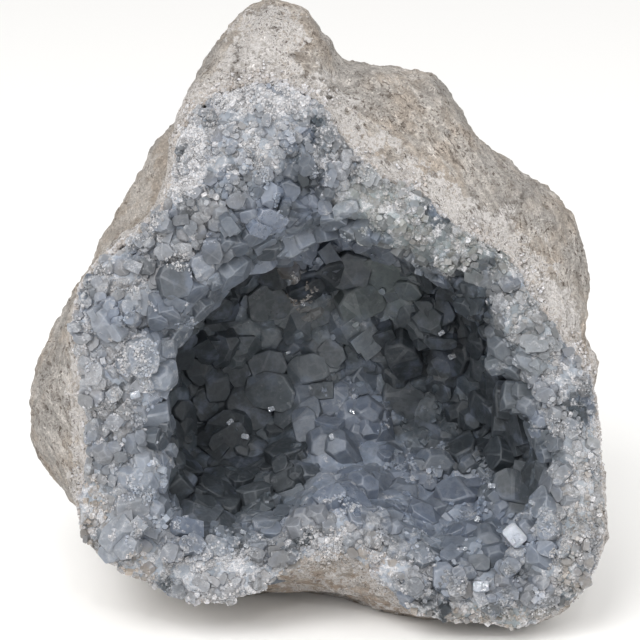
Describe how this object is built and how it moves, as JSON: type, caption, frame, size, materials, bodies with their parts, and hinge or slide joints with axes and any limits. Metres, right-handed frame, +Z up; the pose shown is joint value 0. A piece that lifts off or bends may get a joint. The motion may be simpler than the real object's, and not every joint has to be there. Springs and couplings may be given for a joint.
{
  "type": "celestite geode",
  "caption": "Hollow geode of pale limestone, broken open at the front, its hollow and rim lined with grey-blue celestite crystals.",
  "frame": {"origin": "middle of the small flat spot that the stone stands on", "axes": "+Z up, out of the surface that the stone stands on; -Y out of the open front of the hollow; +X to the right as seen from the front"},
  "size_m": [0.1938, 0.1254, 0.1997],
  "materials": {
    "marl": "rough weathered limestone marl, pitted, iron-stained in places",
    "celestite": "cloudy grey-blue translucent crystal with glassy faces"
  },
  "bodies": {
    "root": {"host_rock": "marl", "crystal_crust": "celestite"}
  },
  "joints": []
}
